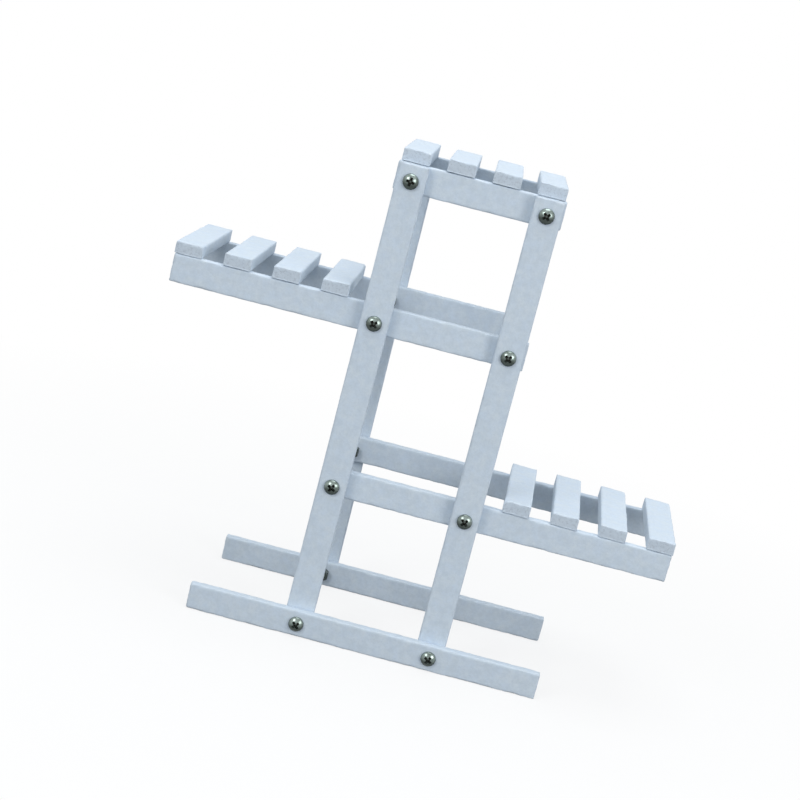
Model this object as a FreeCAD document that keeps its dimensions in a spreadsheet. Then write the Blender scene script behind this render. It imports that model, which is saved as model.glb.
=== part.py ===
import FreeCAD, Part
import os

import Sketcher

# A small three-level plant stand of flat painted boards. Two ladder frames stand one behind the other,
# and slats glued across their rails join them. The middle rails run on to the left and the lower rails run
# on to the right, and each pair of arms carries a shelf. One screw and nut clamps every crossing.
# X runs along the feet, Y runs from front to back and Z is up. The origin is the centre of the floor area.

SLATS_PER_SHELF = 4
SIDES = ("left", "right")
LEVELS = ("lower", "middle", "top")

# Driving dimensions, in millimetres.
DRIVING = (
    ("post_height", 240.9, ""),
    ("post_spacing", 65.4, "between the centre lines of a frame's two posts"),
    ("post_width", 14.4, ""),
    ("post_thickness", 5.0, ""),
    ("front_left_splay", 2.6, "how far the front left post stands out at the floor"),
    ("rear_right_shift", 2.6, "how far the rear right post stands out all the way up"),
    ("rail_height", 14.2, ""),
    ("rail_thickness", 5.0, ""),
    ("rail_overhang", 1.2, "past the outer edge of a post"),
    ("lower_rail_rise", 72.8, "floor to the bottom edge of the lower rails"),
    ("middle_rail_rise", 156.9, "floor to the bottom edge of the middle rails"),
    ("arm_reach", 103.0, "from the nearest post's centre line to the end of an arm"),
    ("foot_length", 180.0, ""),
    ("foot_height", 13.6, ""),
    ("foot_thickness", 5.0, ""),
    ("foot_shift", 1.3, "of the front foot to the left and of the rear foot to the right"),
    ("slat_length", 75.0, "also the distance between the front and rear posts"),
    ("slat_width", 13.8, ""),
    ("slat_thickness", 6.4, ""),
    ("slat_gap", 9.1, "between a post and the nearest slat of an arm"),
    ("slat_forward", 0.8, "how far an uneven slat stands in front of its rail"),
    ("right_slat_skew", 3.2, "how far to the right the rear ends of the right shelf's slats stand"),
    ("edge_easing", 1.0, "bevel of the boards' long edges"),
    ("screw_diameter", 4.0, ""),
    ("screw_drop", 1.2, "below the centre line of a rail"),
    ("hole_clearance", 0.3, "on the diameter of the screw"),
    ("head_diameter", 8.0, ""),
    ("head_height", 2.6, ""),
    ("thread_past_nut", 2.6, ""),
    ("nut_across", 7.0, "across the flats"),
    ("nut_height", 3.2, ""),
    ("nut_clearance", 0.1, "on the diameter of the screw"),
)

# Which slats stand forward of their rail, as shares of slat_forward, from left to right.
FORWARD_SHARES = {
    "top": (0, 1, 1, 0),
    "left": (0, 1, 1, 1),
    "right": (1, 0, 0, 0),
}

# Places that several pieces share, from front to back. The posts' inner faces lie a slat's length apart.
FRONT_INNER_FACE = "(sizes.foot_thickness - sizes.slat_length) / 2"
REAR_INNER_FACE = "(sizes.foot_thickness + sizes.slat_length) / 2"
FRONT_POST_FACE = f"{FRONT_INNER_FACE} - sizes.post_thickness"
FRONT_FOOT_FACE = f"{FRONT_POST_FACE} - sizes.foot_thickness"
REAR_POST_BACK = f"{REAR_INNER_FACE} + sizes.post_thickness"
POST_FRONTS = {
    "front": FRONT_POST_FACE,
    "rear": REAR_INNER_FACE,
}
RAIL_FRONTS = {
    "front": FRONT_INNER_FACE,
    "rear": f"{REAR_INNER_FACE} - sizes.rail_thickness",
}
FOOT_FRONTS = {
    "front": FRONT_FOOT_FACE,
    "rear": f"{REAR_INNER_FACE} - sizes.foot_thickness",
}

# Places from left to right, and heights.
POST_CENTRES = {
    ("front", "left"): "-sizes.post_spacing / 2",
    ("front", "right"): "sizes.post_spacing / 2",
    ("rear", "left"): "-sizes.post_spacing / 2",
    ("rear", "right"): "(sizes.post_spacing / 2 + sizes.rear_right_shift)",
}
SPLAYS = {
    ("front", "left"): "sizes.front_left_splay",
}
FOOT_STARTS = {
    "front": "(-sizes.foot_length / 2 - sizes.foot_shift)",
    "rear": "(-sizes.foot_length / 2 + sizes.foot_shift)",
}
POST_EDGE = "(sizes.post_spacing + sizes.post_width) / 2"
SHORT_END = f"({POST_EDGE} + sizes.rail_overhang)"
ARM_END = "(sizes.post_spacing / 2 + sizes.arm_reach)"
RAIL_ENDS = {
    "lower": (SHORT_END, ARM_END),
    "middle": (ARM_END, SHORT_END),
    "top": (SHORT_END, SHORT_END),
}
RISES = {
    "lower": "sizes.lower_rail_rise",
    "middle": "sizes.middle_rail_rise",
    "top": "sizes.post_height - sizes.rail_height",
}
RAIL_SCREW_UP = "sizes.rail_height / 2 - sizes.screw_drop"
SCREW_HEIGHTS = {
    "foot": "sizes.foot_height / 2",
    **{level: f"{rise} + {RAIL_SCREW_UP}" for level, rise in RISES.items()},
}

# Each shelf lies on one level of rails. Its slats start from a left edge and follow at a pitch.
SHELF_LEVELS = {"top": "top", "left": "middle", "right": "lower"}
TOP_PITCH = f"(sizes.post_spacing + sizes.post_width - sizes.slat_width) / {SLATS_PER_SHELF - 1}"
ARM_PITCH = (
    "(sizes.arm_reach - sizes.post_width / 2 - sizes.slat_gap - sizes.slat_width)"
    f" / {SLATS_PER_SHELF - 1}"
)
SKEWS = {
    "right": "sizes.right_slat_skew",
}
SHELF_STARTS = {
    "top": (f"-{POST_EDGE}", TOP_PITCH),
    "left": (f"-{ARM_END}", ARM_PITCH),
    "right": (f"{POST_EDGE} + sizes.slat_gap", ARM_PITCH),
}

# The skewed slats reach past the rails on the right, and the origin stays the middle of the whole.
MIDDLE = "sizes.right_slat_skew / 2"

HOLE_DIAMETER = "sizes.screw_diameter + sizes.hole_clearance"

# A board is drawn lying along X, with its thickness along Y and its width along Z, and is then turned.
AS_DRAWN = FreeCAD.Rotation()
UPRIGHT = FreeCAD.Rotation(FreeCAD.Vector(0, -1, 0), 90)
FRONT_TO_BACK = FreeCAD.Rotation(90, 0, 90)
HALF_TURN = FreeCAD.Rotation(FreeCAD.Vector(0, 0, 1), 180)
FLATS_TO_SIDES = FreeCAD.Rotation(FreeCAD.Vector(0, 0, 1), 30)
NUT_TURN = FreeCAD.Rotation(FreeCAD.Vector(1, 0, 0), -90) * FLATS_TO_SIDES

doc = FreeCAD.newDocument("plant_shelf")
sizes = doc.addObject("Spreadsheet::Sheet", "sizes")


def fill_sheet():
    """Write the driving dimensions into the sheet, each with its alias."""
    for row, (alias, number, note) in enumerate(DRIVING, start=1):
        sizes.set(f"A{row}", alias)
        sizes.set(f"B{row}", str(number))
        sizes.set(f"C{row}", note)
        sizes.setAlias(f"B{row}", alias)
    doc.recompute()


def measure(expression):
    """The present value of an expression of the sheet's sizes."""
    return float(sizes.evalExpression(expression))


def point(across, up):
    """A sketch point at two expressions."""
    return FreeCAD.Vector(measure(across), measure(up), 0)


def place(item, across, back, up, turn):
    """Set a piece down at three expressions, the first from between the posts, turned as given."""
    item.Placement = FreeCAD.Placement(FreeCAD.Vector(), turn)
    item.setExpression("Placement.Base.x", f"{across} - {MIDDLE}")
    item.setExpression("Placement.Base.y", back)
    item.setExpression("Placement.Base.z", up)


def sketch_on(body, name, role):
    """A sketch on one of the body's own planes."""
    sketch = body.newObject("Sketcher::SketchObject", f"{body.Label}_{name}")
    plane = next(item for item in body.Origin.OriginFeatures if item.Role == role)
    sketch.AttachmentSupport = (plane, [""])
    sketch.MapMode = "FlatFace"
    return sketch


def tie(sketch, kind, ends, name, expression):
    """Add a dimension and drive it by an expression."""
    index = sketch.addConstraint(Sketcher.Constraint(kind, *ends, measure(expression)))
    sketch.renameConstraint(index, name)
    sketch.setExpression(f"Constraints.{name}", expression)


def locate(sketch, item, spot, across, up):
    """Hold one point of a sketch item at two expressions from the sketch's origin."""
    ways = (("DistanceX", "across", -2, across), ("DistanceY", "up", -1, up))
    for kind, name, axis, expression in ways:
        if expression == "0":
            sketch.addConstraint(Sketcher.Constraint("PointOnObject", item, spot, axis))
        else:
            tie(sketch, kind, (-1, 1, item, spot), f"{name}_{item}", expression)


def outline(body, name, role, corners):
    """A sketch of one closed loop of straight sides, with each corner at two expressions."""
    sketch = sketch_on(body, name, role)
    starts = [point(across, up) for across, up in corners]
    ends = starts[1:] + starts[:1]
    sketch.addGeometry([Part.LineSegment(start, end) for start, end in zip(starts, ends)], False)
    for side in range(len(corners)):
        sketch.addConstraint(Sketcher.Constraint("Coincident", side, 2, (side + 1) % len(corners), 1))
    for side, (across, up) in enumerate(corners):
        locate(sketch, side, 1, across, up)
    return sketch


def make_board(label, length, width, thickness):
    """A length of stock with eased long edges, square at its ends."""
    body = doc.addObject("PartDesign::Body", label)
    corners = [("0", "0"), (thickness, "0"), (thickness, width), ("0", width)]
    stock = body.newObject("PartDesign::Pad", f"{label}_stock")
    stock.Profile = outline(body, "section", "YZ_Plane", corners)
    stock.setExpression("Length", length)
    doc.recompute()
    boxes = [edge.BoundBox for edge in stock.Shape.Edges]
    long_edges = [
        f"Edge{number}"
        for number, box in enumerate(boxes, start=1)
        if box.XLength > box.YLength + box.ZLength
    ]
    easing = body.newObject("PartDesign::Chamfer", f"{label}_easing")
    easing.Base = (stock, long_edges)
    easing.setExpression("Size", "sizes.edge_easing")
    return body


def drill(body, centres):
    """Drill clearance holes through a board's thickness, at places along and across it."""
    doc.recompute()
    solid_volume = body.Shape.Volume
    sketch = sketch_on(body, "holes", "XZ_Plane")
    for index, (along, across) in enumerate(centres):
        hole = Part.Circle(point(along, across), FreeCAD.Vector(0, 0, 1), measure(HOLE_DIAMETER) / 2)
        sketch.addGeometry(hole, False)
        locate(sketch, index, 3, along, across)
        tie(sketch, "Diameter", (index,), f"diameter_{index}", HOLE_DIAMETER)
    drilled = body.newObject("PartDesign::Pocket", f"{body.Label}_drilled")
    drilled.Profile = sketch
    drilled.Type = "ThroughAll"
    doc.recompute()
    if body.Shape.Volume >= solid_volume:
        raise RuntimeError(f"{body.Label}: the holes miss the board")


def post_centre(frame, side, up):
    """Where a post's centre line is at a height. A splayed post stands out at the floor, not at its top."""
    splay = SPLAYS.get((frame, side), "0")
    return f"{POST_CENTRES[frame, side]} - {splay} * (1 - ({up}) / sizes.post_height)"


def make_post(frame, side):
    """An upright with one screw hole at its foot and one at each rail."""
    post = make_board(f"{frame}_{side}_post", "sizes.post_height", "sizes.post_width", "sizes.post_thickness")
    lean = f"atan({SPLAYS.get((frame, side), '0')} / sizes.post_height)"
    middle = "sizes.post_width / 2"
    drill(post, [(f"({up} - {middle} * sin({lean})) / cos({lean})", middle) for up in SCREW_HEIGHTS.values()])
    right_edge = f"{post_centre(frame, side, '0')} + {middle} / cos({lean})"
    place(post, right_edge, POST_FRONTS[frame], "0", UPRIGHT)
    post.setExpression("Placement.Rotation.Angle", f"90 deg - {lean}")
    return post


def make_rail(frame, level):
    """A rail that crosses both posts, with a screw hole at each."""
    left_end, right_end = RAIL_ENDS[level]
    length = f"{left_end} + {right_end}"
    rail = make_board(f"{frame}_{level}_rail", length, "sizes.rail_height", "sizes.rail_thickness")
    crossings = [post_centre(frame, side, SCREW_HEIGHTS[level]) for side in SIDES]
    drill(rail, [(f"{left_end} + {crossing}", RAIL_SCREW_UP) for crossing in crossings])
    place(rail, f"-{left_end}", RAIL_FRONTS[frame], RISES[level], AS_DRAWN)
    return rail


def make_foot(frame):
    """A runner on the floor, with a screw hole at each post."""
    foot = make_board(f"{frame}_foot", "sizes.foot_length", "sizes.foot_height", "sizes.foot_thickness")
    start = FOOT_STARTS[frame]
    crossings = [post_centre(frame, side, SCREW_HEIGHTS["foot"]) for side in SIDES]
    drill(foot, [(f"{crossing} - {start}", SCREW_HEIGHTS["foot"]) for crossing in crossings])
    place(foot, start, FOOT_FRONTS[frame], "0", AS_DRAWN)
    return foot


def make_slat(shelf, index):
    """A slat laid across the front and rear rails of its shelf."""
    label = f"{shelf}_slat_{index + 1}"
    slat = make_board(label, "sizes.slat_length", "sizes.slat_width", "sizes.slat_thickness")
    start, pitch = SHELF_STARTS[shelf]
    front_end = f"{FRONT_INNER_FACE} - {FORWARD_SHARES[shelf][index]} * sizes.slat_forward"
    rail_top = f"{RISES[SHELF_LEVELS[shelf]]} + sizes.rail_height"
    place(slat, f"{start} + {index} * {pitch}", front_end, rail_top, FRONT_TO_BACK)
    skew = f"atan({SKEWS.get(shelf, '0')} / sizes.slat_length)"
    slat.setExpression("Placement.Rotation.Yaw", f"90 deg - {skew}")
    return slat


def make_screw(label, grip):
    """A round-headed machine screw along Y from the crown of its head, for boards of the given grip."""
    screw = doc.addObject("PartDesign::Body", label)
    tip = f"sizes.head_height + {grip} + sizes.nut_height + sizes.thread_past_nut"
    corners = [
        ("0", "0"),
        ("sizes.head_diameter / 2", "0"),
        ("sizes.head_diameter / 2", "sizes.head_height"),
        ("sizes.screw_diameter / 2", "sizes.head_height"),
        ("sizes.screw_diameter / 2", tip),
        ("0", tip),
    ]
    profile = outline(screw, "profile", "XY_Plane", corners)
    turned = screw.newObject("PartDesign::Revolution", f"{label}_turned")
    turned.Profile = profile
    turned.ReferenceAxis = (profile, ["V_Axis"])
    return screw


def make_nut():
    """A plain hexagon nut along Z, from the origin up."""
    hexagon = doc.addObject("Part::Prism", "nut_hexagon")
    hexagon.Polygon = 6
    hexagon.setExpression("Circumradius", "sizes.nut_across / sqrt(3)")
    hexagon.setExpression("Height", "sizes.nut_height")
    bore = doc.addObject("Part::Cylinder", "nut_bore")
    bore.setExpression("Radius", "(sizes.screw_diameter + sizes.nut_clearance) / 2")
    bore.setExpression("Height", "sizes.nut_height")
    nut = doc.addObject("Part::Cut", "nut")
    nut.Base = hexagon
    nut.Tool = bore
    return nut


def gather(label, fasteners):
    """One sub-part that holds copies of small models at places given as expressions."""
    copies = []
    for number, (model, across, back, up, turn) in enumerate(fasteners, start=1):
        copy = doc.addObject("App::Link", f"{label}_{number}")
        copy.LinkedObject = model
        place(copy, across, back, up, turn)
        copies.append(copy)
    group = doc.addObject("Part::Compound", label)
    group.Links = copies
    return group


def frame_screws(frame, rail_screw, foot_screw):
    """The eight screws of one frame, with their heads on its outer side."""
    rail_crown = f"{FRONT_POST_FACE} - sizes.head_height"
    foot_crown = f"{FRONT_FOOT_FACE} - sizes.head_height"
    turn = AS_DRAWN
    if frame == "rear":
        rail_crown = foot_crown = f"{REAR_POST_BACK} + sizes.head_height"
        turn = HALF_TURN
    fasteners = []
    for side in SIDES:
        for level, up in SCREW_HEIGHTS.items():
            screw, crown = (foot_screw, foot_crown) if level == "foot" else (rail_screw, rail_crown)
            fasteners.append((screw, post_centre(frame, side, up), crown, up, turn))
    return gather(f"{frame}_screws", fasteners)


def frame_nuts(frame, nut):
    """The eight nuts of one frame, against the boards on its inner side."""
    rail_nut = f"{FRONT_INNER_FACE} + sizes.rail_thickness"
    foot_nut = FRONT_INNER_FACE
    if frame == "rear":
        rail_nut = f"{RAIL_FRONTS[frame]} - sizes.nut_height"
        foot_nut = f"{FOOT_FRONTS[frame]} - sizes.nut_height"
    fasteners = []
    for side in SIDES:
        for level, up in SCREW_HEIGHTS.items():
            seat = foot_nut if level == "foot" else rail_nut
            fasteners.append((nut, post_centre(frame, side, up), seat, up, NUT_TURN))
    return gather(f"{frame}_nuts", fasteners)


def build():
    """Make every sub-part of the stand."""
    rail_screw = make_screw("rail_screw", "sizes.post_thickness + sizes.rail_thickness")
    foot_screw = make_screw("foot_screw", "sizes.foot_thickness + sizes.post_thickness")
    nut = make_nut()
    subparts = []
    for frame in RAIL_FRONTS:
        subparts += [make_post(frame, side) for side in SIDES]
        subparts += [make_rail(frame, level) for level in LEVELS]
        subparts.append(make_foot(frame))
        subparts.append(frame_screws(frame, rail_screw, foot_screw))
        subparts.append(frame_nuts(frame, nut))
    for shelf in SHELF_LEVELS:
        subparts += [make_slat(shelf, index) for index in range(SLATS_PER_SHELF)]
    doc.recompute()
    return subparts


def check(subparts):
    """Stop unless every object recomputed and every sub-part is a sound solid."""
    for item in doc.Objects:
        if "Invalid" in item.State or "Error" in item.State:
            raise RuntimeError(f"{item.Label} failed: {item.State}")
    for subpart in subparts:
        shape = subpart.Shape
        if shape.isNull() or not shape.isValid() or not shape.Solids:
            raise RuntimeError(f"{subpart.Label} is not a sound solid")


def write(subparts):
    """Write each sub-part to its own file."""
    os.makedirs("parts", exist_ok=True)
    for subpart in subparts:
        subpart.Shape.exportStep(f"parts/{subpart.Label}.step")


fill_sheet()
stand = build()
check(stand)
write(stand)
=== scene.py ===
import math

import bmesh
import bpy
from mathutils import Matrix, Vector


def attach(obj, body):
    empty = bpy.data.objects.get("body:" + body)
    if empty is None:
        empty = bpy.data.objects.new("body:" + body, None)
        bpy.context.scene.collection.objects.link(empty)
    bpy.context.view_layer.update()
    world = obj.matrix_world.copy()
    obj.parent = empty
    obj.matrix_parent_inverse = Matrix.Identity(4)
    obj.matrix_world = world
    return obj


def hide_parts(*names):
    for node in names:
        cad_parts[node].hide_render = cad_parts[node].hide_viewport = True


# One millimetre in the frame's metres.
MM = 0.001

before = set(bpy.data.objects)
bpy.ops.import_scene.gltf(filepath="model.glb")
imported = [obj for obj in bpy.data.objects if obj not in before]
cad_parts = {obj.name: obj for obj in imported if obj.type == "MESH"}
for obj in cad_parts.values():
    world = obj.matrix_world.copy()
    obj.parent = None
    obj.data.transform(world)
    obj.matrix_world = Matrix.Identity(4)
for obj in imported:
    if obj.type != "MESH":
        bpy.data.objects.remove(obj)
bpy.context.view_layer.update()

POSTS = [f"{ladder}_{side}_post" for ladder in ("front", "rear") for side in ("left", "right")]
RAILS = [f"{ladder}_{level}_rail" for ladder in ("front", "rear") for level in ("lower", "middle", "top")]
FEET = ["front_foot", "rear_foot"]
SLATS = [f"{shelf}_slat_{number}" for shelf in ("top", "left", "right") for number in range(1, 5)]

# Where the photograph was taken from: metres, then degrees, then millimetres for the lens and sensor.
# A camera looks straight down until it is turned up to level.
CAMERA_PLACE = Vector((0.00526, -0.77424, 0.30312))
CAMERA_HEADING = 1.513
CAMERA_LEVEL = 90.0
CAMERA_DOWN = 13.280
CAMERA_ROLL = 14.218
CAMERA_LENS = 70.41
SENSOR_WIDTH = 36.0

# Spacing of the points that carry a board's unevenness, and the fewest points along a board.
STEP_ALONG = 1.4 * MM
STEP_ACROSS = 0.55 * MM
LEAST_ALONG = 60

# How far edges are rounded and faces and ends are uneven. A slat's near face is its underside.
SLAT_FEEL = {"Easing": 1.0 * MM, "Near easing": 0.3 * MM, "Wander": 0.30 * MM, "Raggedness": 0.65 * MM}
FRAME_FEEL = {"Easing": 1.0 * MM, "Near easing": 1.0 * MM, "Wander": 0.20 * MM, "Raggedness": 0.35 * MM}

# How far each board's pattern lies from the one before, in metres, so that no two are alike.
SEED_SHIFT = (0.37, 0.113, 0.071)

# A pattern is drawn out along the axis on which its places are multiplied by less than one.
SWELL_STRETCH = (0.6, 1.0, 1.0)
GRAIN_STRETCH = (0.2, 1.0, 1.0)
SCRATCH_STRETCH = (1.0, 0.3, 1.0)

# The paint, from its two whites to the pores of a cut end, and the depth of its relief.
COOL_WHITE = (0.678, 0.770, 0.876, 1.0)
WARM_WHITE = (0.711, 0.786, 0.857, 1.0)
BLOTCH_GREY = (0.590, 0.672, 0.755, 1.0)
SPECKLE_GREY = (0.58, 0.66, 0.75, 1.0)
GRAIN_GREY = (0.57, 0.65, 0.75, 1.0)
CUT_END_GREY = (0.575, 0.645, 0.725, 1.0)
PORE_GREY = (0.44, 0.49, 0.56, 1.0)
PAINT_RELIEF = 0.24 * MM

# The zinc plate, with painted shade in a recess and on the faces that look down. That painted shade below is
# a share of the dark plate's colour.
SCREW_LIGHT = (0.305, 0.37, 0.35, 1.0)
SCREW_DARK = (0.15, 0.185, 0.17, 1.0)
# The nuts' plate is the same zinc, made darker as painted shade, since the nuts sit in the shade of the
# frames.
NUT_LIGHT_IN_SHADE = (0.16, 0.19, 0.19, 1.0)
NUT_DARK_IN_SHADE = (0.07, 0.09, 0.09, 1.0)
UNDERSIDE_SHADE = 0.3
RECESS_SHADE = (0.014, 0.012, 0.009, 1.0)
SCRATCH_RELIEF = 0.04 * MM

# Painted shade in a recess is thin within the first of these radii about a screw's axis, as a painted lit
# middle, and full from the second one.
LIT_MIDDLE_RADIUS = 0.3 * MM
FULL_SHADE_RADIUS = 0.7 * MM

# Pan-head screws with a cross recess.
HEAD_RADIUS = 3.8 * MM
HEAD_HEIGHT = 2.6 * MM
HEAD_RIM = 0.8 * MM
RIM_ROUND = 0.18 * MM
RIM_INSET = 0.4 * RIM_ROUND
RIM_LIFT = 0.2 * RIM_ROUND
DOME_RISE = HEAD_HEIGHT - HEAD_RIM
DOME_RADIUS = (HEAD_RADIUS ** 2 + DOME_RISE ** 2) / (2 * DOME_RISE)
DOME_STEPS = 12
SHANK_RADIUS = 2.0 * MM
TIP_RADIUS = 0.86 * SHANK_RADIUS
THREAD_PITCH = 0.7 * MM
THREAD_DEPTH = 0.38 * MM
THREAD_LENGTH = 7.0 * MM
SCREW_FACETS = 56

# The recess is cut by two wings that start above the crown and taper to a share of their size.
RECESS_SPAN = 5.0 * MM
RECESS_WIDTH = 1.5 * MM
RECESS_DEPTH = 1.9 * MM
RECESS_TAPER = 0.55
RECESS_OVERRUN = 0.4 * MM

# A point this far below the dome is fully in the recess. Past the floor lie the underside and the shank.
HOLLOW_DEPTH = 0.25 * MM
HOLLOW_FLOOR = 0.9 * HEAD_HEIGHT

# Hexagon nuts: chamfered outside by an angle in degrees, with a lead-in at both ends of the bore.
NUT_ACROSS = 7.0 * MM
NUT_FACE_RADIUS = 0.94 * NUT_ACROSS / 2
NUT_CHAMFER = 30
NUT_BORE = 2.02 * MM
LEAD_WIDTH = 0.3 * MM
LEAD_DEPTH = 0.35 * MM
NUT_SIDES = 6
NUT_FACETS = 60

# Points of a fastener that lie closer than this are merged.
SPECK = 0.002 * MM

# Edges of a fastener that turn by more than this, in degrees, stay sharp.
SHARP_TURN = 32

# Points of a CAD solid closer than this are one. Solids level to these decimals of a metre are in one row.
CAD_TOUCH = 0.001 * MM
LEVEL_DIGITS = 4

# Below this cosine, two faces of a CAD board count as square to each other.
SQUARE_COSINE = 0.1

# How far each recess is turned, in degrees, from the lowest pair of screws to the top pair.
FRONT_RECESS_TURNS = (45, 30, 30, 42, 45, 40, 10, 50)
REAR_RECESS_TURNS = (12, 71, 38, 5, 64, 27, 50, 81)

# The floor: its half width, and where its shadow starts to fade and where plain white is left, in metres.
FLOOR_REACH = 20.0
FADE_START = 0.12
FADE_END = 0.5
PAPER = ((0.90, 0.905, 0.91, 1.0), (0.93, 0.932, 0.935, 1.0))
BOUNCE_PAPER = ((0.20, 0.21, 0.22, 1.0), (0.23, 0.24, 0.25, 1.0))
PLAIN_WHITE = (1.0, 1.0, 1.0, 1.0)

# The light: the surroundings, and soft lamps with a place, a width, a power in watts and a colour.
SKY_COLOUR = (0.90, 0.96, 1.0, 1.0)
SKY_STRENGTH = 0.58
LAMP_TARGET = Vector((0.0, 0.0, 0.13))
LAMPS = (
    ("overhead_softbox", (0.0, 0.0, 1.40), 0.9, 5.8, (0.97, 0.98, 1.0)),
    ("right_softbox", (1.00, -1.00, 0.60), 0.8, 6.3, (1.0, 1.0, 1.0)),
    ("left_softbox", (-0.90, -1.10, 0.90), 0.7, 5.8, (1.0, 1.0, 1.0)),
)


class Wire:
    """One socket's value, with plain arithmetic that adds the maths nodes."""

    def __init__(self, graph, socket):
        self.graph = graph
        self.socket = socket

    def __add__(self, other):
        return self.graph.maths("ADD", self, other)

    __radd__ = __add__

    def __mul__(self, other):
        return self.graph.maths("MULTIPLY", self, other)

    __rmul__ = __mul__

    def __pow__(self, other):
        return self.graph.maths("POWER", self, other)

    def __rpow__(self, other):
        return self.graph.maths("POWER", other, self)

    def __abs__(self):
        return self.graph.maths("ABSOLUTE", self)


class Graph:
    """Adds nodes to one tree and hands back their outputs as wires."""

    def __init__(self, tree):
        self.tree = tree

    def node(self, kind, settings=None, feeds=None, out=0):
        """A new node with its settings and then its inputs. Gives one output, or the node if it has none."""
        node = self.tree.nodes.new(kind)
        for name, value in (settings or {}).items():
            setattr(node, name, value)
        for key, value in (feeds or {}).items():
            if isinstance(value, Wire):
                self.tree.links.new(value.socket, node.inputs[key])
            else:
                node.inputs[key].default_value = value
        return Wire(self, node.outputs[out]) if len(node.outputs) else node

    def outputs(self, kind, feeds=None):
        """Every output of a new node, by name."""
        source = self.node(kind, None, feeds).socket.node
        return {output.name: Wire(self, output) for output in source.outputs}

    def maths(self, operation, *values):
        return self.node("ShaderNodeMath", {"operation": operation}, dict(enumerate(values)))

    def vector(self, operation, *values):
        return self.node("ShaderNodeVectorMath", {"operation": operation}, dict(enumerate(values)))

    def join(self, x, y, z):
        return self.node("ShaderNodeCombineXYZ", None, {0: x, 1: y, 2: z})

    def split(self, vector):
        return list(self.outputs("ShaderNodeSeparateXYZ", {0: vector}).values())

    def attribute(self, name, out):
        return self.node("ShaderNodeAttribute", {"attribute_name": name}, None, out)

    def facing_up(self):
        """How far the surface faces up, from -1 to 1."""
        return self.split(self.node("ShaderNodeNewGeometry", out="Normal"))[2]

    def noise(self, vector, scale, detail, roughness, distortion=0.0):
        feeds = {"Vector": vector, "Scale": scale, "Detail": detail, "Roughness": roughness}
        return self.node("ShaderNodeTexNoise", None, {**feeds, "Distortion": distortion})

    def span(self, value, low, high, to_low=0.0, to_high=1.0):
        return self.node("ShaderNodeMapRange", None, {0: value, 1: low, 2: high, 3: to_low, 4: to_high})

    def blend(self, share, first, second):
        return self.node("ShaderNodeMix", {"data_type": "RGBA"}, {0: share, 6: first, 7: second}, 2)

    def bump(self, height, strength, distance):
        feeds = {"Height": height, "Strength": strength, "Distance": distance}
        return self.node("ShaderNodeBump", None, feeds)


def new_material(name):
    """An empty node material and the graph that fills it."""
    material = bpy.data.materials.new(name)
    material.use_nodes = True
    material.node_tree.nodes.clear()
    return material, Graph(material.node_tree)


def finish_material(graph, surface):
    graph.node("ShaderNodeOutputMaterial", None, {"Surface": surface})


def white_paint():
    """White paint over sawn wood: soft blotches, fainter on what faces up, and pores on the cut ends."""
    material, graph = new_material("white_paint")
    place = graph.attribute("board_place", "Vector")
    end = graph.attribute("end_face", "Fac")
    along = graph.vector("MULTIPLY", place, GRAIN_STRETCH)
    grain = graph.noise(along, scale=800.0, detail=3.0, roughness=0.6, distortion=0.4)
    blotches = graph.noise(place, scale=330.0, detail=3.0, roughness=0.6)
    drift = graph.noise(place, scale=190.0, detail=3.0, roughness=0.6)
    pores = graph.noise(place, scale=850.0, detail=3.0, roughness=0.7)
    cut = graph.span(end, 0.55, 0.85)
    unevenness = graph.span(graph.facing_up(), 0.5, 0.9, to_low=1.0, to_high=0.45)
    colour = graph.blend(graph.span(drift, 0.35, 0.65), COOL_WHITE, WARM_WHITE)
    marks = (
        (graph.span(blotches, 0.34, 0.60, to_low=0.50, to_high=0.0) * unevenness, BLOTCH_GREY),
        (graph.span(pores, 0.36, 0.52, to_low=0.30, to_high=0.0), SPECKLE_GREY),
        (graph.span(grain, 0.30, 0.50, to_low=0.14, to_high=0.0), GRAIN_GREY),
        (cut * 0.6, CUT_END_GREY),
        (graph.span(pores, 0.36, 0.48, to_low=1.0, to_high=0.0) * cut * 0.5, PORE_GREY),
    )
    for share, grey in marks:
        colour = graph.blend(share, colour, grey)
    pore_depth = graph.span(end, 0.4, 0.9, to_low=0.14, to_high=1.0)
    relief = unevenness * blotches * 0.9 + grain * 0.15 + pores * pore_depth
    feeds = {
        "Base Color": colour,
        "Roughness": 0.58 + 0.14 * blotches + 0.15 * end,
        "Specular IOR Level": 0.12,
        "Normal": graph.bump(relief, strength=0.5, distance=PAINT_RELIEF),
    }
    finish_material(graph, graph.node("ShaderNodeBsdfPrincipled", None, feeds))
    return material


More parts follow.
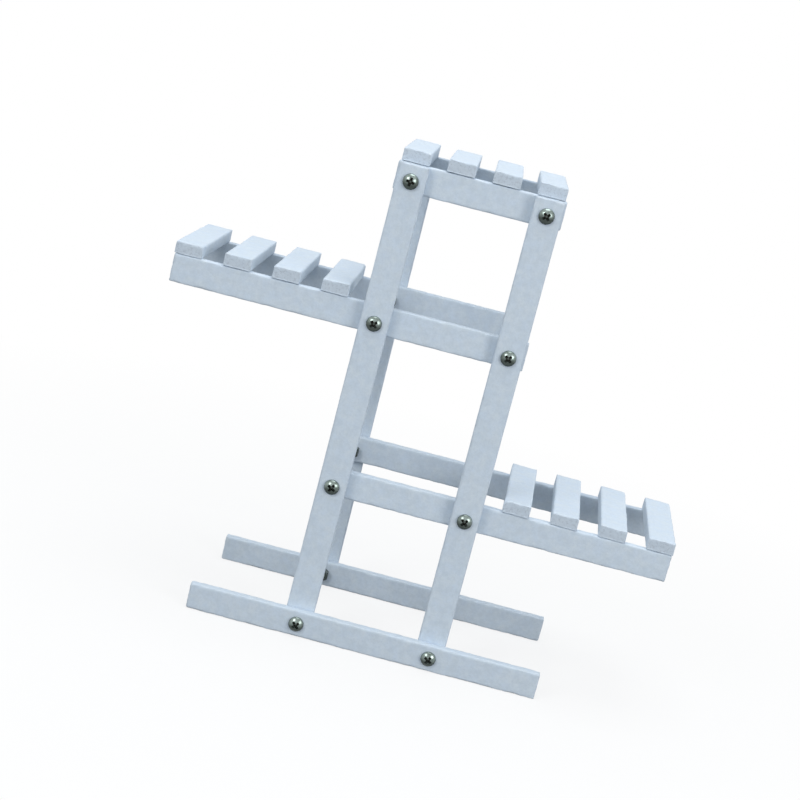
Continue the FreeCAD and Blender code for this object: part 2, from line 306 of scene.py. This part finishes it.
def zinc_plate_and_shade(name, light, dark):
    """Bright zinc plate: clouded and finely scratched, with painted shade on the faces that look down and in
    a recess, where the middle and the walls that face up are left lighter as painted light.
    """
    material, graph = new_material(name)
    place = graph.node("ShaderNodeTexCoord", out="Object")
    hollow = graph.attribute("hollow", "Fac")
    across, _, up = graph.split(graph.attribute("fastener_place", "Vector"))
    from_axis = (across * across + up * up) ** 0.5
    facing_up = graph.facing_up()
    clouds = graph.noise(place, scale=420.0, detail=3.0, roughness=0.6)
    drawn_out = graph.vector("MULTIPLY", place, SCRATCH_STRETCH)
    scratches = graph.noise(drawn_out, scale=5200.0, detail=2.0, roughness=0.6)
    plate = graph.blend(graph.span(clouds, 0.35, 0.65), dark, light)
    underside_shade_colour = (*(UNDERSIDE_SHADE * value for value in dark[:3]), 1.0)
    # Painted shade: the faces that look down are darkened towards a share of the dark plate's colour.
    below = graph.span(facing_up, -0.28, 0.32, to_low=0.9, to_high=0.0)
    shaded_below_plate = graph.blend(below, plate, underside_shade_colour)
    # Painted shade in the recess: thinner at the middle and on the walls that face up, as painted light that
    # catches there.
    off_axis = graph.span(from_axis, LIT_MIDDLE_RADIUS, FULL_SHADE_RADIUS, to_low=0.3, to_high=0.95)
    off_ledges = graph.span(facing_up, 0.2, 0.7, to_low=1.0, to_high=0.0)
    recess_shade = hollow ** 3.0 * off_axis * off_ledges
    feeds = {
        "Base Color": graph.blend(recess_shade, shaded_below_plate, RECESS_SHADE),
        "Metallic": 1.0,
        "Roughness": 0.14 + 0.14 * clouds + 0.3 * hollow,
        "Normal": graph.bump(scratches, strength=0.25, distance=SCRATCH_RELIEF),
    }
    finish_material(graph, graph.node("ShaderNodeBsdfPrincipled", None, feeds))
    return material


def seen_rays(graph):
    """One for the rays that show a surface itself, to the camera, in metal or through glass."""
    path = graph.outputs("ShaderNodeLightPath")
    camera, glossy, through = (path[f"Is {kind} Ray"] for kind in ("Camera", "Glossy", "Transmission"))
    return graph.maths("MAXIMUM", camera, graph.maths("MAXIMUM", glossy, through))


def studio_floor():
    """Pale paper that reads as white and keeps the soft shadow, but bounces less light than it shows."""
    material, graph = new_material("studio_floor")
    place = graph.node("ShaderNodeTexCoord", out="Object")
    fibres = graph.noise(place, scale=60.0, detail=4.0, roughness=0.6)
    matt = {"Roughness": 0.9, "Specular IOR Level": 0.0}
    sheet, bounce = (
        graph.node("ShaderNodeBsdfPrincipled", None, {"Base Color": graph.blend(fibres, *colours), **matt})
        for colours in (PAPER, BOUNCE_PAPER)
    )
    across, back, _ = graph.split(place)
    distance = (across * across + back * back) ** 0.5
    faded = graph.span(distance, FADE_START, FADE_END, to_low=0.78, to_high=1.0)
    glow = graph.node("ShaderNodeEmission", None, {"Color": PLAIN_WHITE, "Strength": 1.0})
    shown = graph.node("ShaderNodeMixShader", None, {0: faded, 1: sheet, 2: glow})
    surface = graph.node("ShaderNodeMixShader", None, {0: seen_rays(graph), 1: bounce, 2: shown})
    finish_material(graph, surface)
    return material


def new_tree(name, sockets):
    """A geometry tree with named inputs. Gives the tree, its graph and the inputs as wires."""
    tree = bpy.data.node_groups.new(name, "GeometryNodeTree")
    tree.interface.new_socket(name="Geometry", in_out="OUTPUT", socket_type="NodeSocketGeometry")
    for label, kind in sockets:
        tree.interface.new_socket(name=label, in_out="INPUT", socket_type=kind)
    graph = Graph(tree)
    return tree, graph, graph.outputs("NodeGroupInput")


def end_tree(graph, geometry, material):
    """Close a tree with real geometry and its material."""
    whole = graph.node("GeometryNodeRealizeInstances", None, {"Geometry": geometry})
    painted = graph.node("GeometryNodeSetMaterial", None, {"Geometry": whole, "Material": material})
    graph.node("NodeGroupOutput", None, {"Geometry": painted})


def store_on_points(graph, geometry, kind, name, value):
    """Keep a value on every point under a name that a material can read."""
    settings = {"data_type": kind, "domain": "POINT"}
    feeds = {"Geometry": geometry, "Name": name, "Value": value}
    return graph.node("GeometryNodeStoreNamedAttribute", settings, feeds)


def freeze(piece):
    """Keep what a piece's modifiers make as its plain mesh."""
    bpy.context.view_layer.update()
    depsgraph = bpy.context.evaluated_depsgraph_get()
    mesh = bpy.data.meshes.new_from_object(
        piece.evaluated_get(depsgraph), preserve_all_data_layers=True, depsgraph=depsgraph
    )
    piece.modifiers.clear()
    piece.data = mesh
    return piece


def settle(piece, tree, values):
    """Run a tree on a piece with the given inputs and keep the result as a plain mesh."""
    modifier = piece.modifiers.new(tree.name, "NODES")
    modifier.node_group = tree
    identifiers = {item.name: item.identifier for item in tree.interface.items_tree if item.in_out == "INPUT"}
    for label, value in values.items():
        modifier[identifiers[label]] = value
    return freeze(piece)


def new_piece(name, mesh=None):
    piece = bpy.data.objects.new(name, mesh or bpy.data.meshes.new(name))
    bpy.context.scene.collection.objects.link(piece)
    return piece


def board_tree():
    """A sawn board along X: edges worn unevenly, faces that wander a little and ragged saw-cut ends."""
    sockets = (
        ("Size", "NodeSocketVector"), ("Points along", "NodeSocketInt"), ("Points through", "NodeSocketInt"),
        ("Points across", "NodeSocketInt"), ("Easing", "NodeSocketFloat"), ("Near easing", "NodeSocketFloat"),
        ("Wander", "NodeSocketFloat"), ("Raggedness", "NodeSocketFloat"), ("Seed", "NodeSocketFloat"),
        ("Paint", "NodeSocketMaterial"),
    )
    tree, graph, inputs = new_tree("painted_board", sockets)
    block = graph.node("GeometryNodeMeshCube", None, {
        "Size": (2.0, 2.0, 2.0), "Vertices X": inputs["Points along"],
        "Vertices Y": inputs["Points through"], "Vertices Z": inputs["Points across"],
    })
    half = graph.vector("MULTIPLY", inputs["Size"], (0.5, 0.5, 0.5))

    # A sine crowds the points towards the edges, where the rounding needs them.
    quarter_turn = (math.pi / 2, math.pi / 2, math.pi / 2)
    even = graph.vector("MULTIPLY", graph.node("GeometryNodeInputPosition"), quarter_turn)
    crowded = graph.vector("SINE", even)
    square = graph.vector("MULTIPLY", crowded, half)
    place = graph.vector("ADD", square, graph.join(*(inputs["Seed"] * shift for shift in SEED_SHIFT)))

    # Each point goes to a rounded box around a core that is smaller by the easing.
    chips = graph.noise(place, scale=260.0, detail=2.0, roughness=0.6)
    wear = graph.span(chips, 0.35, 0.65, to_low=0.6, to_high=1.5)
    from_near = graph.split(crowded)[1]
    rounding = wear * graph.span(from_near, -0.8, 0.8, inputs["Near easing"], inputs["Easing"])
    easing = graph.join(rounding, rounding, rounding)
    core = graph.vector("SUBTRACT", half, easing)
    far_core = graph.vector("MULTIPLY", core, (-1.0, -1.0, -1.0))
    nearest = graph.vector("MINIMUM", graph.vector("MAXIMUM", square, far_core), core)
    outward = graph.vector("NORMALIZE", graph.vector("SUBTRACT", square, nearest))
    eased = graph.vector("ADD", nearest, graph.vector("MULTIPLY", outward, easing))

    # Then it sinks a little, and further on the cut ends.
    end = abs(graph.split(outward)[0])
    drawn_out = graph.vector("MULTIPLY", place, SWELL_STRETCH)
    swell = graph.noise(drawn_out, scale=170.0, detail=2.0, roughness=0.5)
    fibres = graph.noise(place, scale=750.0, detail=3.0, roughness=0.65)
    sink = inputs["Wander"] * swell + inputs["Raggedness"] * fibres * end
    sawn = graph.vector("SUBTRACT", eased, graph.vector("MULTIPLY", outward, graph.join(sink, sink, sink)))
    placed = store_on_points(graph, block, "FLOAT_VECTOR", "board_place", place)
    marked = store_on_points(graph, placed, "FLOAT", "end_face", end)
    shaped = graph.node("GeometryNodeSetPosition", None, {"Geometry": marked, "Position": sawn})
    smooth = graph.node("GeometryNodeSetShadeSmooth", None, {"Geometry": shaped, "Shade Smooth": True})
    end_tree(graph, smooth, inputs["Paint"])
    return tree


def fastener_tree():
    """Copies of one fastener, set on points and turned as each point says."""
    sockets = (
        ("Places", "NodeSocketGeometry"), ("Model", "NodeSocketObject"), ("Plate", "NodeSocketMaterial"),
    )
    tree, graph, inputs = new_tree("fastener_set", sockets)
    model = graph.node("GeometryNodeObjectInfo", None, {"Object": inputs["Model"]}, "Geometry")
    turn = graph.node("GeometryNodeInputNamedAttribute", {"data_type": "FLOAT_VECTOR"}, {"Name": "turn"})
    rotation = graph.node("FunctionNodeEulerToRotation", None, {"Euler": turn})
    copies = graph.node(
        "GeometryNodeInstanceOnPoints", None,
        {"Points": inputs["Places"], "Instance": model, "Rotation": rotation},
    )
    end_tree(graph, copies, inputs["Plate"])
    return tree


def forward(direction):
    """The same line, pointing along its main axis."""
    return direction if max(direction, key=abs) > 0 else -direction


def board_axes(mesh):
    """A CAD board's own axes as columns, along its length, thickness and width."""
    faces = sorted(mesh.polygons, key=lambda face: face.area, reverse=True)
    through = forward(faces[0].normal)
    narrow_side = next(face.normal for face in faces if abs(face.normal.dot(through)) < SQUARE_COSINE)
    along = forward(through.cross(narrow_side))
    return Matrix((along, through, along.cross(through))).transposed()


def make_board(node, tree, seed, paint, feel):
    """One painted board in the place of its CAD node."""
    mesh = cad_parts[node].data
    axes = board_axes(mesh)
    reach = [[vertex.co.dot(axis) for vertex in mesh.vertices] for axis in axes.col]
    size = Vector([max(values) - min(values) for values in reach])
    middle = axes @ Vector([(max(values) + min(values)) / 2 for values in reach])
    piece = settle(new_piece(f"painted_{node}"), tree, {
        "Size": size,
        "Points along": max(LEAST_ALONG, round(size.x / STEP_ALONG)),
        "Points through": round(size.y / STEP_ACROSS),
        "Points across": round(size.z / STEP_ACROSS),
        "Seed": float(seed),
        "Paint": paint,
        **feel,
    })
    piece.data.transform(Matrix.Translation(middle) @ axes.to_4x4())
    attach(piece, "root")
    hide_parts(node)


def about_y(radius, height, angle):
    return radius * math.cos(angle), height, radius * math.sin(angle)


def lathe(profile, segments):
    """A closed mesh turned about Y from (radius, height) points that start and end on the axis."""
    turned = bmesh.new()
    rings = []
    for radius, height in profile:
        count = segments if radius > 0 else 1
        angles = [2 * math.pi * step / segments for step in range(count)]
        rings.append([turned.verts.new(about_y(radius, height, angle)) for angle in angles])
    for lower, upper in zip(rings, rings[1:]):
        for step in range(segments):
            after = (step + 1) % segments
            corners = [
                lower[step % len(lower)], lower[after % len(lower)],
                upper[after % len(upper)], upper[step % len(upper)],
            ]
            turned.faces.new(list(dict.fromkeys(corners)))
    bmesh.ops.recalc_face_normals(turned, faces=turned.faces)
    return turned


def to_mesh(name, shape):
    mesh = bpy.data.meshes.new(name)
    shape.to_mesh(mesh)
    shape.free()
    return mesh


def merge_and_smooth(mesh):
    """Merge the specks that a cut leaves, and shade the mesh smoothly between its sharp edges."""
    shape = bmesh.new()
    shape.from_mesh(mesh)
    bmesh.ops.remove_doubles(shape, verts=shape.verts, dist=SPECK)
    shape.to_mesh(mesh)
    shape.free()
    mesh.shade_smooth()
    mesh.set_sharp_from_angle(angle=math.radians(SHARP_TURN))


def screw_profile(length):
    """Half section of a pan-head screw from the crown to the tip, with a thread at the far end."""
    reach = math.asin(HEAD_RADIUS / DOME_RADIUS)
    angles = [reach * step / DOME_STEPS for step in range(DOME_STEPS)]
    profile = [(DOME_RADIUS * math.sin(angle), DOME_RADIUS * (1 - math.cos(angle))) for angle in angles]
    profile += [
        (HEAD_RADIUS - RIM_INSET, DOME_RISE - RIM_LIFT),
        (HEAD_RADIUS, DOME_RISE + RIM_ROUND),
        (HEAD_RADIUS, HEAD_HEIGHT - RIM_ROUND),
        (HEAD_RADIUS - RIM_ROUND, HEAD_HEIGHT),
        (SHANK_RADIUS, HEAD_HEIGHT),
    ]
    thread_start = length - THREAD_LENGTH
    for turn in range(int(THREAD_LENGTH / THREAD_PITCH)):
        foot = thread_start + turn * THREAD_PITCH
        profile += [(SHANK_RADIUS, foot), (SHANK_RADIUS - THREAD_DEPTH, foot + THREAD_PITCH / 2)]
    profile += [(TIP_RADIUS, length), (0.0, length)]
    return profile


def recess_wing(across, up):
    """One tapered wing of the driver recess, as a cutter."""
    wing = bmesh.new()
    rings = []
    for height, taper in ((-RECESS_OVERRUN, 1.0), (RECESS_DEPTH, RECESS_TAPER)):
        x = across / 2 * taper
        z = up / 2 * taper
        corners = ((-x, height, -z), (x, height, -z), (x, height, z), (-x, height, z))
        rings.append([wing.verts.new(corner) for corner in corners])
    top, bottom = rings
    wing.faces.new(top)
    wing.faces.new(list(reversed(bottom)))
    for step in range(len(top)):
        after = (step + 1) % len(top)
        wing.faces.new((top[step], bottom[step], bottom[after], top[after]))
    bmesh.ops.recalc_face_normals(wing, faces=wing.faces)
    return wing


def mark_recess(mesh):
    """Store each point's place on the screw, and how deep it lies in the recess, from 0 to 1."""
    mesh.attributes.new("hollow", "FLOAT", "POINT")
    mesh.attributes.new("fastener_place", "FLOAT_VECTOR", "POINT")
    hollow = mesh.attributes["hollow"].data
    own_place = mesh.attributes["fastener_place"].data
    for index, vertex in enumerate(mesh.vertices):
        own_place[index].vector = vertex.co
        radius = math.hypot(vertex.co.x, vertex.co.z)
        crown = DOME_RADIUS - math.sqrt(max(DOME_RADIUS ** 2 - radius ** 2, 0.0))
        in_reach = radius < RECESS_SPAN / 2 and vertex.co.y < HOLLOW_FLOOR
        sunk = vertex.co.y - crown if in_reach else 0.0
        hollow[index].value = min(max(sunk / HOLLOW_DEPTH, 0.0), 1.0)


def make_screw_model(length):
    """A pan-head screw with a cross recess, crown at the origin and shank along +Y."""
    model = new_piece("screw_model", to_mesh("screw_model", lathe(screw_profile(length), SCREW_FACETS)))
    wings = ((RECESS_SPAN, RECESS_WIDTH), (RECESS_WIDTH, RECESS_SPAN))
    cutters = [new_piece("recess_wing", to_mesh("recess_wing", recess_wing(*wing))) for wing in wings]
    for cutter in cutters:
        cut = model.modifiers.new("recess", "BOOLEAN")
        cut.operation = "DIFFERENCE"
        cut.solver = "EXACT"
        cut.object = cutter
    mesh = freeze(model).data
    merge_and_smooth(mesh)
    mark_recess(mesh)
    for cutter in cutters:
        bpy.data.objects.remove(cutter)
    return model


def make_nut_model(height):
    """A chamfered hexagon nut along +Y from the origin, open through its bore."""
    side_angle = 2 * math.pi / NUT_SIDES
    lean = math.tan(math.radians(NUT_CHAMFER))
    lead_in = [(NUT_BORE, LEAD_DEPTH), (NUT_BORE + LEAD_WIDTH, 0.0)]
    nut = bmesh.new()
    columns = []
    for step in range(NUT_FACETS):
        angle = 2 * math.pi * step / NUT_FACETS
        from_flat = angle % side_angle
        from_flat = min(from_flat, side_angle - from_flat)
        reach = NUT_ACROSS / 2 / math.cos(from_flat)
        drop = (reach - NUT_FACE_RADIUS) * lean
        near_end = lead_in + [(NUT_FACE_RADIUS, 0.0), (reach, drop)]
        far_end = [(radius, height - y) for radius, y in reversed(near_end)]
        columns.append([nut.verts.new(about_y(radius, y, angle)) for radius, y in near_end + far_end])
    for first, second in zip(columns, columns[1:] + columns[:1]):
        for row in range(len(first)):
            after = (row + 1) % len(first)
            nut.faces.new((first[row], first[after], second[after], second[row]))
    bmesh.ops.recalc_face_normals(nut, faces=nut.faces)
    model = new_piece("nut_model", to_mesh("nut_model", nut))
    merge_and_smooth(model.data)
    # A nut has no recess, so this stays at zero.
    model.data.attributes.new("hollow", "FLOAT", "POINT")
    return model


def solid_boxes(node):
    """Lowest and highest corners of a CAD node's separate solids, in rows from the floor up."""
    shape = bmesh.new()
    shape.from_mesh(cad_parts[node].data)
    bmesh.ops.remove_doubles(shape, verts=shape.verts, dist=CAD_TOUCH)
    remaining = set(shape.verts)
    boxes = []
    while remaining:
        waiting = [remaining.pop()]
        grown = []
        while waiting:
            vert = waiting.pop()
            grown.append(vert)
            near = {link.other_vert(vert) for link in vert.link_edges} & remaining
            remaining -= near
            waiting += near
        corners = [[pick(vert.co[axis] for vert in grown) for axis in range(3)] for pick in (min, max)]
        boxes.append(tuple(Vector(corner) for corner in corners))
    shape.free()
    return sorted(boxes, key=lambda box: (round(box[0].z, LEVEL_DIGITS), round(box[0].x, LEVEL_DIGITS)))


def depth(box):
    low, high = box
    return high.y - low.y


def end_middles(boxes, end):
    """The middle of each box's front side, for end 0, or of its rear side, for end 1."""
    middles = [(low + high) / 2 for low, high in boxes]
    return [(middle.x, box[end].y, middle.z) for middle, box in zip(middles, boxes)]


def make_fasteners(node, tree, model, starts, turns, plate):
    """The fasteners of one CAD node, as copies of one model."""
    places = bpy.data.meshes.new(f"{node}_places")
    places.from_pydata(starts, [], [])
    turn = places.attributes.new("turn", "FLOAT_VECTOR", "POINT")
    for index, value in enumerate(turns):
        turn.data[index].vector = value
    piece = settle(new_piece(f"plated_{node}", places), tree, {"Model": model, "Plate": plate})
    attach(piece, "root")
    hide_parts(node)


def build_boards():
    paint = white_paint()
    tree = board_tree()
    for seed, node in enumerate(POSTS + RAILS + FEET + SLATS, start=1):
        make_board(node, tree, seed, paint, SLAT_FEEL if node in SLATS else FRAME_FEEL)


def build_screws(tree):
    """Screws with their heads on the outer side of each ladder frame."""
    plate = zinc_plate_and_shade("screw_steel", SCREW_LIGHT, SCREW_DARK)
    front = solid_boxes("front_screws")
    rear = solid_boxes("rear_screws")
    model = make_screw_model(depth(front[0]))
    front_turns = [(0.0, math.radians(turn), 0.0) for turn in FRONT_RECESS_TURNS]
    rear_turns = [(0.0, math.radians(turn), math.pi) for turn in REAR_RECESS_TURNS]
    make_fasteners("front_screws", tree, model, end_middles(front, 0), front_turns, plate)
    make_fasteners("rear_screws", tree, model, end_middles(rear, 1), rear_turns, plate)
    bpy.data.objects.remove(model)


def build_nuts(tree):
    """Nuts on the inner side of each ladder frame."""
    # The nuts' darker plate colours are painted shade.
    plate = zinc_plate_and_shade("nut_steel", NUT_LIGHT_IN_SHADE, NUT_DARK_IN_SHADE)
    for node in ("front_nuts", "rear_nuts"):
        boxes = solid_boxes(node)
        model = make_nut_model(depth(boxes[0]))
        unturned = [(0.0, 0.0, 0.0)] * len(boxes)
        make_fasteners(node, tree, model, end_middles(boxes, 0), unturned, plate)
        bpy.data.objects.remove(model)


def build_floor():
    floor = new_piece("studio_floor")
    sheet = bmesh.new()
    bmesh.ops.create_grid(sheet, x_segments=1, y_segments=1, size=FLOOR_REACH)
    sheet.to_mesh(floor.data)
    sheet.free()
    floor.data.materials.append(studio_floor())


def build_surroundings():
    """White to look at, and a dimmer pale blue as light."""
    world = bpy.data.worlds.new("studio_world")
    bpy.context.scene.world = world
    world.use_nodes = True
    world.node_tree.nodes.clear()
    graph = Graph(world.node_tree)
    shade = graph.node("ShaderNodeBackground", None, {"Color": SKY_COLOUR, "Strength": SKY_STRENGTH})
    white = graph.node("ShaderNodeBackground", None, {"Color": PLAIN_WHITE, "Strength": 1.0})
    sky = graph.node("ShaderNodeMixShader", None, {0: seen_rays(graph), 1: shade, 2: white})
    graph.node("ShaderNodeOutputWorld", None, {"Surface": sky})


def build_lamps():
    """One soft lamp overhead and one on each side in front."""
    for name, place, width, power, colour in LAMPS:
        lamp = bpy.data.lights.new(name, "AREA")
        lamp.shape = "DISK"
        lamp.size = width
        lamp.energy = power
        lamp.color = colour
        holder = bpy.data.objects.new(name, lamp)
        holder.location = place
        holder.rotation_euler = (LAMP_TARGET - Vector(place)).to_track_quat("-Z", "Y").to_euler()
        bpy.context.scene.collection.objects.link(holder)


def build_camera():
    """The photograph's view: from just above, and with the picture leaning to the right."""
    lens = bpy.data.cameras.new("photo_view")
    lens.sensor_width = SENSOR_WIDTH
    lens.lens = CAMERA_LENS
    camera = bpy.data.objects.new("photo_view", lens)
    turn = (
        Matrix.Rotation(math.radians(CAMERA_HEADING), 4, "Z")
        @ Matrix.Rotation(math.radians(CAMERA_LEVEL - CAMERA_DOWN), 4, "X")
        @ Matrix.Rotation(math.radians(CAMERA_ROLL), 4, "Z")
    )
    camera.matrix_world = Matrix.Translation(CAMERA_PLACE) @ turn
    bpy.context.scene.collection.objects.link(camera)
    bpy.context.scene.camera = camera


bpy.context.scene.view_settings.view_transform = "Standard"
build_boards()
fasteners = fastener_tree()
build_screws(fasteners)
build_nuts(fasteners)
build_floor()
build_surroundings()
build_lamps()
build_camera()
